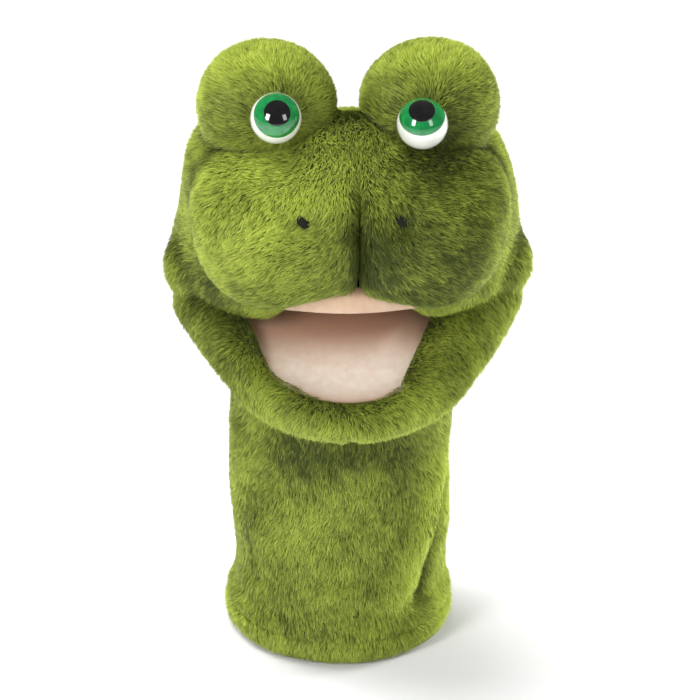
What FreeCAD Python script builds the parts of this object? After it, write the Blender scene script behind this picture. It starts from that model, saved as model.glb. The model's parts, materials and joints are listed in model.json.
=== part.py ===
import FreeCAD, Part
import math
import os
import Sketcher

# Plush frog hand puppet, in millimetres. +Z is up, the face looks along -Y and the
# origin is the middle of the hand opening, in the plane of the hem.
# Four bodies share the solids: the sleeve stands still, the neck turns on it about Z,
# the head nods on the neck about X at the wrist, and the lower jaw hinges at the throat fold.

SIZES = (
    ("sleeve_outer", 54, "outside of the plush sleeve wall"),
    ("sleeve_inner", 50, "inside of the plush sleeve wall"),
    ("sleeve_top", 112, "height of the sleeve panels"),
    ("hem_inner", 48, "bore left by the turned-in hem"),
    ("hem_height", 20, "depth of the turned-in hem"),
    ("turn_gap", 0.5, "slit between sleeve and neck, which turn on each other"),
    ("neck_outer", 53, "outside of the neck wall"),
    ("neck_wall", 4, "thickness of the neck wall"),
    ("neck_front_top", 124, "top of the front half of the neck, under the chin"),
    ("neck_back_top", 190, "top of the back half of the neck, inside the head"),
    ("wrist_height", 160, "height of the nodding axis"),
    ("wrist_ball", 54, "radius of the neck's round top about the nodding axis"),
    ("nod_gap", 0.5, "clearance of the head over the neck's round top"),
    ("head_half_width", 91, "half width of the head"),
    ("head_radius", 71, "half height and half depth of the head without its eye mounds"),
    ("head_y", -6, "middle of the head, front to back"),
    ("head_z", 219, "middle of the head, height"),
    ("skin", 3, "thickness of the plush skin with its pile pressed flat"),
    ("fit", 0.3, "clearance between neighbouring soft pieces"),
    ("head_front", -28, "front edge of the skins of the crown and cheeks"),
    ("cheek_back", -8, "seam between a cheek and the back of the head"),
    ("cheek_side", 60, "how far a cheek panel reaches in towards the middle"),
    ("cheek_bottom", 150, "lower edge of the head's back"),
    ("cheek_low", 168.5, "lower edge of a cheek panel"),
    ("muzzle_half_width", 79, "half width of the muzzle"),
    ("muzzle_radius", 42, "half height and half depth of the muzzle"),
    ("muzzle_y", -56, "middle of the muzzle, front to back"),
    ("muzzle_z", 244, "middle of the muzzle, height"),
    ("muzzle_back", -30, "back edge of the muzzle"),
    ("mound_half_width", 36, "half width of an eye mound"),
    ("mound_radius", 34, "half height and half depth of an eye mound"),
    ("mound_x", 40, "middle of an eye mound, sideways"),
    ("mound_y", -22, "middle of an eye mound, front to back"),
    ("mound_z", 296, "middle of an eye mound, height"),
    ("eye_ball", 12.5, "radius of an eyeball"),
    ("eye_x", 37, "middle of an eye, sideways"),
    ("eye_y", -56, "middle of an eye, front to back"),
    ("eye_z", 303, "middle of an eye, height"),
    ("eye_tip", 42, "lean of an eye's own axis forward from upright"),
    ("eye_print", 0.5, "thickness of iris and pupil on the ball"),
    ("iris_from", 30, "latitude of the iris's outer edge"),
    ("iris_to", 60, "latitude of the edge between iris and pupil"),
    ("shank", 2.5, "radius of an eye's threaded shank"),
    ("shank_end", 27, "end of the shank, from the middle of the ball"),
    ("washer", 9, "radius of a locking washer"),
    ("washer_at", 20, "face of the washer, from the middle of the ball"),
    ("washer_thick", 1.8, "thickness of a locking washer"),
    ("washer_fit", 0.05, "clearance of the washer on its shank"),
    ("nostril_x", 24, "middle of a nostril, sideways"),
    ("nostril_up", 27, "angle at which a nostril faces up from level"),
    ("nostril_long", 9, "length of a nostril's stitched bar"),
    ("nostril_thick", 0.9, "radius of a nostril's stitched bar"),
    ("nostril_lift", 0.1, "clearance of a nostril's bar over the muzzle"),
    ("hinge_y", -25, "throat fold, front to back"),
    ("hinge_z", 188, "throat fold, height"),
    ("jaw_droop", 25, "slope of the open lower jaw below level"),
    ("palate_rise", 23, "slope of the palate above level"),
    ("roll_path", 60, "half width of the lip roll's centre line"),
    ("roll", 14, "radius of the lip roll"),
    ("roll_leg", 8, "straight leg of the lip roll at each mouth corner"),
    ("roll_drop", 5, "drop of the lip roll's centre line below the plane of the fold"),
    ("jaw_room", 27, "room about the hinge axis for the ends of the lip roll"),
    ("jaw_room_half", 75, "half length of that room"),
    ("roll_skin", 2.5, "thickness of the lip roll's plush"),
    ("jaw_plate", 45.8, "half width of the lower lining and its stiffener"),
    ("jaw_start", 5, "first edge of the jaw's plates, from the throat fold"),
    ("palate_plate", 44, "half width of the upper lining and its stiffener"),
    ("palate_leg", 12, "straight leg of the palate's outline"),
    ("palate_start", 5, "first edge of the palate's plates, from the throat fold"),
    ("lining", 1.5, "thickness of the mouth lining with its interlining"),
    ("board", 2, "thickness of the mouth stiffeners"),
    ("ply_gap", 0.2, "gap between the plies of the mouth"),
    ("pocket_wall", 1.5, "thickness of the hand pockets' cloth"),
    ("finger_width", 80, "width of the finger pocket"),
    ("finger_long", 52, "length of the finger pocket"),
    ("finger_high", 20, "height of the finger pocket"),
    ("thumb_width", 40, "width of the thumb pocket"),
    ("thumb_long", 44, "length of the thumb pocket"),
    ("thumb_high", 17, "height of the thumb pocket"),
    ("chin_plate", 47, "half width of the chin panel"),
    ("chin_at", -24, "underside of the chin panel, from the hinge plane"),
    ("chin_start", 14, "back edge of the chin panel, from the throat fold"),
    ("huge", 400, "size of the cutting blocks"),
)
LEFT = -1
RIGHT = 1

doc = FreeCAD.newDocument("FrogPuppet")
sheet = doc.addObject("Spreadsheet::Sheet", "Sizes")
for row, (alias, number, meaning) in enumerate(SIZES, start=1):
    sheet.set(f"A{row}", meaning)
    sheet.set(f"B{row}", str(number))
    sheet.setAlias(f"B{row}", alias)
doc.recompute()

pieces = []


def cell(text):
    """Turns words of the form $name in an expression into cells of the sheet."""
    return str(text).replace("$", "Sizes.")


def bind(thing, **expressions):
    for name, text in expressions.items():
        thing.setExpression(name, cell(text))


def keep(thing, label):
    """Marks an object as a finished sub-part under the name of its node."""
    thing.Label = label
    pieces.append(thing)
    return thing


def keep_pair(thing, label):
    """Keeps a piece of the left side, and its mirror image for the right side."""
    keep(thing, label + "_left")
    image = doc.addObject("Part::Mirroring", label + "_right")
    image.Source = thing
    image.Normal = (1, 0, 0)
    keep(image, label + "_right")


# Frames: where a frame's origin lies, and its turn about X.
WORLD = ("0", "0", "0", "0")
JAW = ("0", "$hinge_y", "$hinge_z", "$jaw_droop")
PALATE = ("0", "$hinge_y", "$hinge_z", "-$palate_rise")
EYE = ("-$eye_x", "$eye_y", "$eye_z", "$eye_tip")
NOSTRIL = ("-$nostril_x", "$muzzle_y", "$muzzle_z", "-$nostril_up")


def put(thing, frame, x="0", y="0", z="0"):
    """Places an object's own origin at x, y, z of a frame, and turns it with the frame."""
    origin_x, origin_y, origin_z, turn = frame
    thing.Placement = FreeCAD.Placement(FreeCAD.Vector(), FreeCAD.Rotation(FreeCAD.Vector(1, 0, 0), 1))
    spots = {
        ".Placement.Base.x": f"{origin_x} + ({x})",
        ".Placement.Base.y": f"{origin_y} + ({y}) * cos({turn}) - ({z}) * sin({turn})",
        ".Placement.Base.z": f"{origin_z} + ({y}) * sin({turn}) + ({z}) * cos({turn})",
        ".Placement.Rotation.Angle": f"({turn}) * 1 deg",
    }
    for path, text in spots.items():
        thing.setExpression(path, cell(text))
    return thing


def primitive(kind, name, frame=WORLD, at=("0", "0", "0"), **sizes):
    thing = doc.addObject("Part::" + kind, name)
    bind(thing, **sizes)
    return put(thing, frame, *at)


def block(name, low, high, frame=WORLD):
    """A box between two corners of a frame, each corner three expressions."""
    spans = [f"({top}) - ({bottom})" for bottom, top in zip(low, high)]
    return primitive("Box", name, frame, low, Length=spans[0], Width=spans[1], Height=spans[2])


def joined(kind, name, shapes):
    thing = doc.addObject("Part::" + kind, name)
    thing.Shapes = list(shapes)
    return thing


def cut(name, base, *tools):
    """Cuts the tools out of the base one after another."""
    for count, tool in enumerate(tools, start=1):
        step = doc.addObject("Part::Cut", name if count == len(tools) else f"{name}_step_{count}")
        step.Base, step.Tool = base, tool
        base = step
    return base


def overlap(name, *shapes):
    return joined("MultiCommon", name, shapes)


def fuse(name, *shapes):
    return joined("MultiFuse", name, shapes)


def new_body(name, frame=WORLD):
    return put(doc.addObject("PartDesign::Body", name), frame)


def plane(body, role):
    return next(item for item in body.Origin.OriginFeatures if item.Role == role)


def new_sketch(body, role):
    sketch = body.newObject("Sketcher::SketchObject", body.Name + "_outline")
    sketch.AttachmentSupport = (plane(body, role), [""])
    sketch.MapMode = "FlatFace"
    return sketch


def dimension(sketch, name, expression, *arguments):
    index = sketch.addConstraint(Sketcher.Constraint(*arguments))
    sketch.renameConstraint(index, name)
    sketch.setExpression("Constraints." + name, cell(expression))


def rectangle(sketch, left, bottom, right, top):
    """A rectangle in the sketch's first quadrant, held by four named distances."""
    corners = [(30, 10), (40, 10), (40, 30), (30, 30)]
    for here, there in zip(corners, corners[1:] + corners[:1]):
        sketch.addGeometry(Part.LineSegment(FreeCAD.Vector(*here, 0), FreeCAD.Vector(*there, 0)))
    for line in range(4):
        sketch.addConstraint(Sketcher.Constraint("Coincident", line, 2, (line + 1) % 4, 1))
        sketch.addConstraint(Sketcher.Constraint("Vertical" if line % 2 else "Horizontal", line))
    dimension(sketch, "inside", left, "DistanceX", -1, 1, 0, 1, 30)
    dimension(sketch, "outside", right, "DistanceX", -1, 1, 2, 1, 40)
    dimension(sketch, "underside", bottom, "DistanceY", -1, 1, 0, 1, 10)
    dimension(sketch, "topside", top, "DistanceY", -1, 1, 2, 1, 30)


def lobe(name, part, shrink="0", middle_x="0"):
    """A soft lobe, round about its own X axis with round ends: the sheet holds its middle,
    its half width and its radius."""
    body = new_body(name)
    for letter, text in (("x", middle_x), ("y", f"${part}_y"), ("z", f"${part}_z")):
        body.setExpression(".Placement.Base." + letter, cell(text))
    sketch = new_sketch(body, "XY_Plane")
    radius, middle, half_width = 20, 10, 30
    top_left, top_right = FreeCAD.Vector(-middle, radius, 0), FreeCAD.Vector(middle, radius, 0)
    left_end, right_end = FreeCAD.Vector(-half_width, 0, 0), FreeCAD.Vector(half_width, 0, 0)
    normal = FreeCAD.Vector(0, 0, 1)
    for centre, first, last in ((-middle, 90, 180), (middle, 0, 90)):
        circle = Part.Circle(FreeCAD.Vector(centre, 0, 0), normal, radius)
        sketch.addGeometry(Part.ArcOfCircle(circle, math.radians(first), math.radians(last)))
    sketch.addGeometry(Part.LineSegment(left_end, right_end))
    sketch.addGeometry(Part.LineSegment(top_right, top_left))
    for rule in (("Coincident", 0, 2, 2, 1), ("Coincident", 2, 2, 1, 1), ("Tangent", 1, 2, 3, 1),
                 ("Tangent", 3, 2, 0, 1), ("PointOnObject", 0, 3, -1), ("PointOnObject", 1, 3, -1),
                 ("PointOnObject", 2, 1, -1), ("PointOnObject", 2, 2, -1), ("Equal", 0, 1)):
        sketch.addConstraint(Sketcher.Constraint(*rule))
    dimension(sketch, "radius", f"${part}_radius - ({shrink})", "Radius", 0, radius)
    reach = f"${part}_half_width - ({shrink})"
    dimension(sketch, "left_end", reach, "DistanceX", 2, 1, -1, 1, half_width)
    dimension(sketch, "right_end", reach, "DistanceX", -1, 1, 2, 2, half_width)
    turn = body.newObject("PartDesign::Revolution", name + "_turn")
    turn.Profile = sketch
    turn.ReferenceAxis = (sketch, ["H_Axis"])
    turn.Angle = 360
    return body


def ring(label, inner, outer, bottom, top, side=0):
    """A round wall: all round, or only its front (-1) or back (1) half."""
    body = new_body(label)
    rectangle(new_sketch(body, "XZ_Plane"), inner, bottom, outer, top)
    turn = body.newObject("PartDesign::Revolution", label + "_turn")
    turn.Profile = body.Group[0]
    turn.ReferenceAxis = (body.Group[0], ["V_Axis"])
    turn.Angle = 180 if side else 360
    turn.Reversed = side < 0
    return body


def lip_plate(label, frame, radius, leg, start, bottom, thickness):
    """A flat ply with the outline of the mouth: two legs and half a circle at the front."""
    body = new_body(label, frame)
    sketch = new_sketch(body, "XY_Plane")
    sketch.setExpression(".AttachmentOffset.Base.z", cell(bottom))
    points = [FreeCAD.Vector(*spot, 0) for spot in ((-40, -5), (-40, -15), (40, -15), (40, -5))]
    front = Part.Arc(points[1], FreeCAD.Vector(0, -55, 0), points[2])
    outline = (Part.LineSegment(*points[:2]), front, Part.LineSegment(*points[2:]),
               Part.LineSegment(points[3], points[0]))
    for edge in outline:
        sketch.addGeometry(edge)
    for first, first_end, second, second_end in ((0, 2, 1, 1), (1, 2, 2, 1), (2, 2, 3, 1), (3, 2, 0, 1)):
        sketch.addConstraint(Sketcher.Constraint("Coincident", first, first_end, second, second_end))
    sketch.addConstraint(Sketcher.Constraint("Vertical", 0))
    sketch.addConstraint(Sketcher.Constraint("Vertical", 2))
    sketch.addConstraint(Sketcher.Constraint("Horizontal", 3))
    sketch.addConstraint(Sketcher.Constraint("PointOnObject", 1, 3, -2))
    dimension(sketch, "radius", radius, "Radius", 1, 40)
    dimension(sketch, "leg", f"-({leg})", "DistanceY", -1, 1, 1, 3, -15)
    dimension(sketch, "leg_level", f"-({leg})", "DistanceY", -1, 1, 0, 2, -15)
    dimension(sketch, "start", f"-({start})", "DistanceY", -1, 1, 0, 1, -5)
    pad = body.newObject("PartDesign::Pad", label + "_pad")
    pad.Profile = sketch
    bind(pad, Length=thickness)
    return body


def pocket(label, frame, width, start, length, bottom, top):
    """A flat cloth pocket, open at the back, where a hand comes in."""
    wall = "$pocket_wall"
    outside = block(label + "_outside", (f"-{width} / 2", f"-({start}) - {length}", bottom),
                    (f"{width} / 2", f"-({start})", top), frame)
    inside = block(label + "_inside", (f"-{width} / 2 + {wall}", f"-({start}) - {length} + {wall}",
                                       f"({bottom}) + {wall}"),
                   (f"{width} / 2 - {wall}", "0", f"({top}) - {wall}"), frame)
    return cut(label, outside, inside)


# ---- Sleeve: two plush panels sewn at the sides, and the hem turned in at the bottom ----

keep(ring("sleeve_front", "$sleeve_inner", "$sleeve_outer", "0", "$sleeve_top", -1), "sleeve_front")
keep(ring("sleeve_back", "$sleeve_inner", "$sleeve_outer", "0", "$sleeve_top", 1), "sleeve_back")
keep(ring("sleeve_hem", "$hem_inner", "$sleeve_inner", "0", "$hem_height"), "sleeve_hem")

# ---- Neck: a low front half under the chin and a back half with a round top ----

NECK_BOTTOM = "$sleeve_top + $turn_gap"
keep(ring("neck_front", "$neck_outer - $neck_wall", "$neck_outer", NECK_BOTTOM, "$neck_front_top", -1),
     "neck_front")


def neck_solid(name, shrink):
    """The neck's upright wall with the ball on which the head nods."""
    wall = primitive("Cylinder", name + "_wall", Radius=f"$neck_outer - {shrink}", Height="$wrist_height")
    ball = primitive("Sphere", name + "_ball", at=("0", "0", "$wrist_height"),
                     Radius=f"$wrist_ball - {shrink}")
    return fuse(name, wall, ball)


neck_shell = cut("neck_shell", neck_solid("neck_outside", "0"), neck_solid("neck_inside", "$neck_wall"))
neck_half = block("neck_half", ("-$huge / 2", "0", NECK_BOTTOM), ("$huge / 2", "$huge / 2", "$neck_back_top"))
keep(overlap("neck_back", neck_shell, neck_half), "neck_back")

# ---- Head: back with crown, and cheeks ----

head_clear = lobe("head_clear", "head", "-$fit")
muzzle_clear = lobe("muzzle_clear", "muzzle", "-$fit")
wrist_clear = primitive("Sphere", "wrist_clear", at=("0", "0", "$wrist_height"),
                        Radius="$wrist_ball + $nod_gap")
head_room = block("head_room", ("-$huge / 2", "$head_front", "$cheek_bottom"),
                  ("$huge / 2", "$huge / 2", "$huge"))
throat_room = block("throat_room", ("-$huge / 2", "-$huge / 2", "0"), ("$huge / 2", "$cheek_back", "$head_z"))
jaw_room = doc.addObject("Part::Cylinder", "jaw_room")
bind(jaw_room, Radius="$jaw_room", Height="2 * $jaw_room_half")
jaw_room.Placement.Rotation = FreeCAD.Rotation(FreeCAD.Vector(0, 1, 0), 90)
for letter, text in (("x", "-$jaw_room_half"), ("y", "$hinge_y"), ("z", "$hinge_z")):
    jaw_room.setExpression(".Placement.Base." + letter, cell(text))
head_shell = cut("head_shell", overlap("head_outside", lobe("head_solid", "head"), head_room),
                 lobe("head_hollow", "head", "$skin"), muzzle_clear, wrist_clear, jaw_room)


def cheek_block(name, side, grow):
    """The space of one cheek panel beside the mouth corner, with its seams let out by grow."""
    inner, outer = f"{side} * ($cheek_side - {grow})", f"{side} * $huge / 2"
    low, high = (inner, outer) if side == RIGHT else (outer, inner)
    return block(name, (low, "-$huge / 2", "$cheek_low"), (high, f"$cheek_back + {grow}", "$mound_z"))


keep(cut("head_back", head_shell, throat_room, cheek_block("cheek_room_left", LEFT, "$ply_gap"),
         cheek_block("cheek_room_right", RIGHT, "$ply_gap")), "head_back")
keep_pair(overlap("cheek", head_shell, cheek_block("cheek_block", LEFT, "0")), "cheek")

board_at = "$lining + $ply_gap"
finger_bottom = f"{board_at} + $board + $ply_gap"
finger_top = f"{finger_bottom} + $finger_high"
palate_below = block("palate_below", ("-$huge / 2", "-$huge / 2", "-$huge"),
                     ("$huge / 2", "$huge / 2", finger_bottom), PALATE)
finger_room = block("finger_room", ("-$finger_width / 2 - $fit", "-$palate_start - $finger_long - $fit", "0"),
                    ("$finger_width / 2 + $fit", "0", f"{finger_top} + $fit"), PALATE)

# ---- Eyes: ball with shank, printed iris and pupil, and the locking washer behind the plush ----


def along_eye(name, bottom, top, radius):
    """A round bar on an eye's own axis, between two distances from the ball's middle."""
    return primitive("Cylinder", name, EYE, ("0", "0", bottom), Radius=radius,
                     Height=f"({top}) - ({bottom})")


def eye_print(name, low, high):
    """The print on the ball between two latitudes."""
    zone = primitive("Sphere", name + "_zone", EYE, Radius="$eye_ball + $eye_print",
                     Angle1=f"({low}) * 1 deg", Angle2=f"({high}) * 1 deg")
    return cut(name, zone, primitive("Sphere", name + "_under", EYE, Radius="$eye_ball"))


keep_pair(fuse("eyeball", primitive("Sphere", "ball", EYE, Radius="$eye_ball"),
               along_eye("shank", "-$shank_end", "0", "$shank")), "eyeball")
keep_pair(eye_print("iris", "$iris_from", "$iris_to"), "iris")
keep_pair(eye_print("pupil", "$iris_to", "90"), "pupil")
keep_pair(cut("eye_washer", along_eye("washer_disc", "-$washer_at - $washer_thick", "-$washer_at", "$washer"),
              along_eye("washer_hole", "-$shank_end", "0", "$shank + $washer_fit")), "eye_washer")

eye_seat = primitive("Sphere", "eye_seat", EYE, Radius="$eye_ball + $eye_print + $fit")
eye_room = along_eye("eye_room", "-$shank_end - $fit", "0", "$washer + $fit")

# ---- Muzzle and eye mounds, each giving way to the eye fixed in it ----

muzzle_half = block("muzzle_half", ("-$huge / 2", "-$huge / 2", "0"), ("0", "$muzzle_back", "$huge"))
keep_pair(cut("muzzle", overlap("muzzle_outside", lobe("muzzle_solid", "muzzle"), muzzle_half),
              lobe("muzzle_hollow", "muzzle", "$skin"), palate_below, finger_room, eye_room), "muzzle")
keep_pair(cut("muzzle_stuffing",
              overlap("muzzle_inside", lobe("muzzle_fill", "muzzle", "$skin + $fit"), muzzle_half),
              palate_below, finger_room, eye_room), "muzzle_stuffing")
keep_pair(cut("eye_mound", lobe("mound_solid", "mound", "0", "-$mound_x"),
              lobe("mound_hollow", "mound", "$skin", "-$mound_x"),
              head_clear, muzzle_clear, eye_seat), "eye_mound")
keep_pair(cut("eye_mound_stuffing", lobe("mound_fill", "mound", "$skin + $fit", "-$mound_x"),
              head_clear, muzzle_clear, eye_seat, eye_room), "eye_mound_stuffing")

# ---- Nostrils: a short bar of thread across each dimple ----

keep_pair(primitive("Cylinder", "nostril_stitch", NOSTRIL,
                    ("0", "-$muzzle_radius - $nostril_thick - $nostril_lift", "-$nostril_long / 2"),
                    Radius="$nostril_thick", Height="$nostril_long"), "nostril_stitch")

# ---- Palate: lining, stiffener and the pocket for the fingers ----

keep(lip_plate("upper_mouth_lining", PALATE, "$palate_plate", "$palate_leg", "$palate_start",
               "0", "$lining"), "upper_mouth_lining")
keep(lip_plate("upper_mouth_board", PALATE, "$palate_plate", "$palate_leg", "$palate_start",
               board_at, "$board"), "upper_mouth_board")
keep(pocket("finger_pocket", PALATE, "$finger_width", "$palate_start", "$finger_long",
            finger_bottom, finger_top), "finger_pocket")

# ---- Lower jaw: stuffed lip roll in two halves, lining, stiffener, thumb pocket, chin ----


def roll(name, radius):
    """The left half of the lip roll: a quarter ring at the front, and a straight leg to the corner."""
    bend = primitive("Torus", name + "_bend", JAW, ("0", "-$roll_leg", "-$roll_drop"),
                     Radius1="$roll_path", Radius2=radius)
    room = block(name + "_room", ("-$huge / 2", "-$huge / 2", "-$huge / 2"),
                 ("0", "-$roll_leg", "$huge / 2"), JAW)
    leg = primitive("Cylinder", name + "_leg", JAW, ("-$roll_path", "-$roll_leg", "-$roll_drop"),
                    Radius=radius, Height="$roll_leg")
    leg.setExpression(".Placement.Rotation.Angle", cell("($jaw_droop - 90) * 1 deg"))
    return fuse(name, overlap(name + "_quarter", bend, room), leg)


keep_pair(cut("lower_jaw", roll("roll_outside", "$roll"), roll("roll_inside", "$roll - $roll_skin")),
          "lower_jaw")
keep_pair(roll("lower_jaw_stuffing", "$roll - $roll_skin - $fit"), "lower_jaw_stuffing")

keep(lip_plate("lower_mouth_lining", JAW, "$jaw_plate", "$roll_leg", "$jaw_start", "-$lining",
               "$lining"), "lower_mouth_lining")
keep(lip_plate("lower_mouth_board", JAW, "$jaw_plate", "$roll_leg", "$jaw_start",
               f"-({board_at}) - $board", "$board"), "lower_mouth_board")
keep(pocket("thumb_pocket", JAW, "$thumb_width", "$jaw_start", "$thumb_long",
            f"-({finger_bottom}) - $thumb_high", f"-({finger_bottom})"), "thumb_pocket")
keep(lip_plate("chin_panel", JAW, "$chin_plate", "$chin_start", "$chin_start - 2", "$chin_at", "$skin"),
     "chin_panel")

doc.recompute()

for thing in doc.Objects:
    if "Invalid" in thing.State or "Error" in thing.State:
        raise RuntimeError(f"{thing.Name} failed: {thing.State}")
os.makedirs("parts", exist_ok=True)
for piece in pieces:
    if piece.Shape.isNull() or not piece.Shape.isValid():
        raise RuntimeError(f"{piece.Label} has no valid shape")
    piece.Shape.exportStep(f"parts/{piece.Label}.step")
    box = piece.Shape.optimalBoundingBox()
    print(f"{piece.Label:26s} {piece.Shape.Volume / 1000:9.2f} cm3  {len(piece.Shape.Solids)} solid(s)  "
          f"x {box.XMin:.0f}..{box.XMax:.0f}  y {box.YMin:.0f}..{box.YMax:.0f}  "
          f"z {box.ZMin:.0f}..{box.ZMax:.0f}")
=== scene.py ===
import json
import math

import bpy
import numpy as np
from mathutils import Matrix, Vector


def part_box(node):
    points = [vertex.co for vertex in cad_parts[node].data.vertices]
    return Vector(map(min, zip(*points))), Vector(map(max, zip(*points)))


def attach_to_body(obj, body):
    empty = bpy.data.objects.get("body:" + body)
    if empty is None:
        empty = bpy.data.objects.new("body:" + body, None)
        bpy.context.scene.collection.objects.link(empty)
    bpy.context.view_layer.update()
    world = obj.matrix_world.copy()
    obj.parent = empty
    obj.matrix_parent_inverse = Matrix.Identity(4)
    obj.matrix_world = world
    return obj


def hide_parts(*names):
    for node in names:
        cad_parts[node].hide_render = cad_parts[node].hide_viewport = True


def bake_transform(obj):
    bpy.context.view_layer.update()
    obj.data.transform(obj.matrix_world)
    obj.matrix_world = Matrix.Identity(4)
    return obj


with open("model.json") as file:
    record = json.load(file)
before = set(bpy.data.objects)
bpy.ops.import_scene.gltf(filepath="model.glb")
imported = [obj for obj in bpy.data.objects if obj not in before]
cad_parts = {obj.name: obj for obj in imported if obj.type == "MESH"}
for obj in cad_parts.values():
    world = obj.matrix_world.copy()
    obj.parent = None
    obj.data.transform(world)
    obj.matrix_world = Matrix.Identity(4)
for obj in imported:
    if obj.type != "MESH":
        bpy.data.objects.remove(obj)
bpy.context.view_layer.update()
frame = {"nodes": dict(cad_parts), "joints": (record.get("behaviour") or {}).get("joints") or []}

# A plush frog hand puppet. The frame is in metres, +Z up, and the face looks along -Y. Shapes
# are worked out in millimetres: each skin is the zero surface of a field of smooth lobes that
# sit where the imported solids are, and the pile on it is real strands of mesh.

MM = 0.001


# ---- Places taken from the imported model, in millimetres ----

def joint_place(name):
    return np.array(next(j for j in frame["joints"] if j["name"] == name)["pos_m"], float) / MM


def extent(*nodes):
    """Lowest and highest corner of several nodes together."""
    boxes = [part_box(node) for node in nodes]
    low = np.min([np.array(low, float) for low, _ in boxes], axis=0)
    high = np.max([np.array(high, float) for _, high in boxes], axis=0)
    return low / MM, high / MM


def middle(node):
    low, high = extent(node)
    return (low + high) / 2


SIDES = {side: math.copysign(1, middle("cheek_" + side)[0]) for side in ("left", "right")}
HINGE = joint_place("mouth")
SLEEVE_TOP = extent("sleeve_front")[1][2]
SLEEVE_RADIUS = extent("sleeve_front")[1][0] - 0.5
MOUND_LOW, MOUND_HIGH = extent("eye_mound_right")
MOUND_HALF = (MOUND_HIGH[0] - MOUND_LOW[0]) / 2
MOUND_RADIUS = MOUND_HALF - 2
MOUND = np.array((MOUND_LOW[0] + MOUND_HALF, MOUND_HIGH[1] - MOUND_RADIUS, MOUND_HIGH[2] - MOUND_RADIUS))
BALL_LOW, BALL_HIGH = extent("eyeball_right")
EYE_RADIUS = (BALL_HIGH[0] - BALL_LOW[0]) / 2
EYE = np.array((BALL_LOW[0], BALL_LOW[1], BALL_HIGH[2] - 2 * EYE_RADIUS)) + EYE_RADIUS
NOSTRIL = middle("nostril_stitch_right")
DROOP = math.radians(25)
RISE = math.radians(23)
JAW_OUT = np.array([0, -math.cos(DROOP), -math.sin(DROOP)])
JAW_UP = np.array([0, -math.sin(DROOP), math.cos(DROOP)])
PALATE_OUT = np.array([0, -math.cos(RISE), math.sin(RISE)])
PALATE_UP = np.array([0, math.sin(RISE), math.cos(RISE)])
PALATE_RADIUS = 50
PALATE_LEG = 12
TONGUE_RADIUS = 53
TONGUE_LEG = 9
LIP_FRONT = 69
LIP_SPREAD = 66.5
LIP_LEG = 8
MUZZLE_SEAM = 3.5
HEM_SEAM = 15
LEAN = -3.1
STITCH_WAY = {"left": (0.80, -0.60), "right": (0.92, -0.38)}
UPPER_STEP = 2.2
LOWER_STEP = 2.0
FILLING_STEP = 3.0
SKIN = 2.6
PILE = 5.2
PILE_DENSITY = 3.8
TUFT = 1.9
ROOT_DEPTH = 0.6
STRAND_HALF_WIDTHS = (0.14, 0.26)
FLOOR_GAP = 0.4


# ---- Fields: distances in millimetres, below zero inside ----

def ellipsoid(points, centre, radii):
    scaled = (points - np.array(centre, float)) / np.array(radii, float)
    outer = np.linalg.norm(scaled, axis=1)
    inner = np.linalg.norm(scaled / np.array(radii, float), axis=1)
    return outer * (outer - 1) / np.maximum(inner, 1e-9)


def join(first, second, soft):
    """Union of two fields, with a fillet about soft wide where they meet."""
    near = np.clip(0.5 + 0.5 * (second - first) / soft, 0, 1)
    return second + (first - second) * near - soft * near * (1 - near)


def meet(first, second, soft):
    """What two fields have in common, with its edge rounded."""
    return -join(-first, -second, soft)


def ease(value, start, end):
    share = np.clip((value - start) / (end - start), 0, 1)
    return share * share * (3 - 2 * share)


def bump(points, centre, width):
    """1 at the centre, falling to nothing over a few widths."""
    gap = (points - np.array(centre, float)) / np.array(width, float)
    return np.exp(-0.5 * (gap * gap).sum(axis=1))


def along(points, origin, direction):
    return (points - origin) @ direction


def one_side(points):
    """The same points with everything on the side of positive X."""
    return np.column_stack((np.abs(points[:, 0]), points[:, 1:]))


# ---- The head, neck and sleeve ----

def lean(height):
    """How far the sleeve's middle stands to one side at a height."""
    return LEAN * (1 - ease(height, 90, 175))


def slant_fold(angle, height):
    """The long fold down the right of the sleeve: its ridge and the valley behind it, from 0 to 1."""
    aside = np.angle(np.exp(1j * (angle + 0.93 - (height - 47) * 0.0078)))
    free = ease(height, 14, 40) * (1 - ease(height, 88, 108))
    return free * np.exp(-(aside / 0.17) ** 2), free * np.exp(-((aside - 0.34) / 0.12) ** 2)


def sleeve_radius(angle, height):
    """Radius of the sleeve's cloth: a soft waist, a flared hem and shallow slanting folds."""
    hem = 3.4 * (1 - ease(height, 14, 28)) - 7.5 * (1 - ease(height, -3, 11)) ** 2
    hem = hem - 2.6 * np.maximum(np.cos(angle), 0) ** 2 * (1 - ease(height, 22, 60))
    hem_seam = -1.5 * np.exp(-((height - HEM_SEAM) / 1.6) ** 2)
    waist = -1.4 * np.exp(-((height - 40) / 16) ** 2)
    waves = 0.9 * np.sin(3 * angle + height / 31 + 0.6) + 0.7 * np.sin(5 * angle - height / 23 + 2.2)
    slack = 1.3 * np.exp(-((height - 31 - 9 * np.cos(angle + 1.2)) / 5) ** 2)
    slack = slack * np.maximum(-np.sin(angle), 0)
    ridge, valley = slant_fold(angle, height)
    free = ease(height, 4, 40) * (1 - 0.7 * ease(height, 95, 125))
    return SLEEVE_RADIUS - 1.0 + hem + hem_seam + waist + waves * free + 3 * ridge - 3.6 * valley + slack


def tube(points):
    x = points[:, 0] - lean(points[:, 2])
    y = points[:, 1]
    return np.hypot(x, y) - sleeve_radius(np.arctan2(y, x), points[:, 2])


def hood(points):
    """The back of the head, with a broad shoulder on each side."""
    middle_part = ellipsoid(points, (0, -4, 214), (84, 60, 62))
    left_shoulder = ellipsoid(points, (-51, -17, 253), (28, 41, 36))
    right_shoulder = ellipsoid(points, (51, -13, 247), (28, 41, 35))
    return join(middle_part, np.minimum(left_shoulder, right_shoulder), 14)


def throat(points):
    """The tube of the neck, closed off slantwise under the lower jaw."""
    return meet(tube(points), along(points, HINGE, JAW_UP) + 12, 16)


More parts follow.
